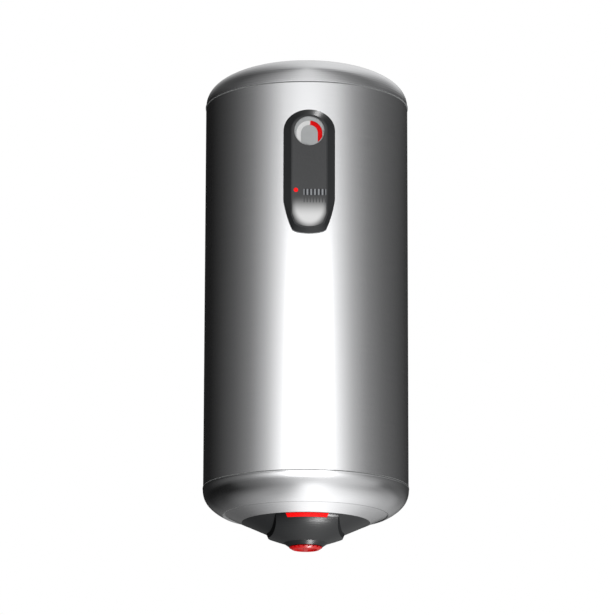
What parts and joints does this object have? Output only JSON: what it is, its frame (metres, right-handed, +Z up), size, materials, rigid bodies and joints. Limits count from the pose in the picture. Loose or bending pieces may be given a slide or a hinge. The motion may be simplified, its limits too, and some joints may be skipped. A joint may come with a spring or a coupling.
{
  "type": "tank water heater",
  "caption": "Wall-hung cylindrical electric storage water heater with a steel jacket, arched front panel with a round thermometer, and a control knob underneath.",
  "frame": {"origin": "on the wall, midway between the centres of the bracket's two hanging slots", "axes": "+Z up along the tank, +Y into the wall, so the heater's front faces -Y, and +X to the right as seen from the front"},
  "size_m": [0.3548, 0.3799, 0.8496],
  "materials": {
    "jacket_steel": "satin",
    "zinc_steel": "satin",
    "enamelled_steel": "gloss",
    "foam": "matte",
    "black_rubber": "matte",
    "brass_fittings": "satin",
    "copper_parts": "satin",
    "stainless_tube": "satin",
    "magnesium": "matte",
    "cream_plastic": "satin",
    "charcoal_plastic": "satin",
    "graphite_face": "satin",
    "red_plastic": "gloss",
    "red_lens": "gloss",
    "neon_glass": "gloss",
    "blue_plastic": "gloss",
    "badge_metal": "satin",
    "clear_window": "gloss",
    "dial_print": "satin",
    "disc_white": "satin",
    "disc_red": "satin"
  },
  "bodies": {
    "casing": {"jacket": "jacket_steel", "top_cap": "jacket_steel", "bottom_cap": "jacket_steel", "cap_screws": "zinc_steel", "foam_insulation": "foam", "tank_barrel": "enamelled_steel", "tank_top_head": "enamelled_steel", "tank_bottom_head": "enamelled_steel", "flange_neck": "enamelled_steel", "flange_gasket": "black_rubber", "flange_plate": "zinc_steel", "flange_studs": "zinc_steel", "flange_nuts": "zinc_steel", "earth_screw": "brass_fittings", "heating_element": "stainless_tube", "element_ferrules": "brass_fittings", "element_links": "copper_parts", "anode_rod": "magnesium", "anode_stud": "zinc_steel", "probe_pocket": "copper_parts", "thermostat_probe": "copper_parts", "thermostat_body": "cream_plastic", "thermostat_terminals": "brass_fittings", "electrical_cover": "charcoal_plastic", "cover_screws": "zinc_steel", "cable_gland": "black_rubber", "pilot_lens": "red_lens", "lamp_holder": "cream_plastic", "pilot_lamp": "neon_glass", "lamp_leads": "cream_plastic", "cold_inlet_pipe": "stainless_tube", "cold_diffuser": "cream_plastic", "cold_collar": "blue_plastic", "hot_outlet_pipe": "stainless_tube", "hot_collar": "red_plastic", "front_panel": "charcoal_plastic", "panel_face": "graphite_face", "panel_clips": "charcoal_plastic", "panel_lamp": "red_lens", "badge_strip": "badge_metal", "gauge_window": "clear_window", "gauge_dial": "dial_print", "gauge_case": "charcoal_plastic", "bimetal_coil": "copper_parts", "wall_bracket": "zinc_steel", "bracket_escutcheons": "charcoal_plastic", "wall_buffers": "black_rubber"},
    "knob": {"control_knob": "red_plastic", "control_spindle": "zinc_steel"},
    "gauge_rotor": {"gauge_disc": "disc_white", "gauge_red_sector": "disc_red", "gauge_spindle": "zinc_steel"},
    "reset": {"reset_button": "red_plastic"}
  },
  "joints": [
    {"name": "knob_turn", "type": "hinge", "parent": "casing", "child": "knob", "pos_m": [0, -0.19, -0.66], "axis": [0, 0, 1], "range_deg": [-135, 135]},
    {"name": "gauge_turn", "type": "hinge", "parent": "casing", "child": "gauge_rotor", "pos_m": [0, -0.37, 0.025], "axis": [0, 1, 0], "range_deg": [-80, 80], "stiffness_Nm_per_rad": 0.002},
    {"name": "reset_press", "type": "slide", "parent": "casing", "child": "reset", "axis": [0, 0, 1], "range_m": [0, 0.0015], "stiffness_N_per_m": 300}
  ]
}
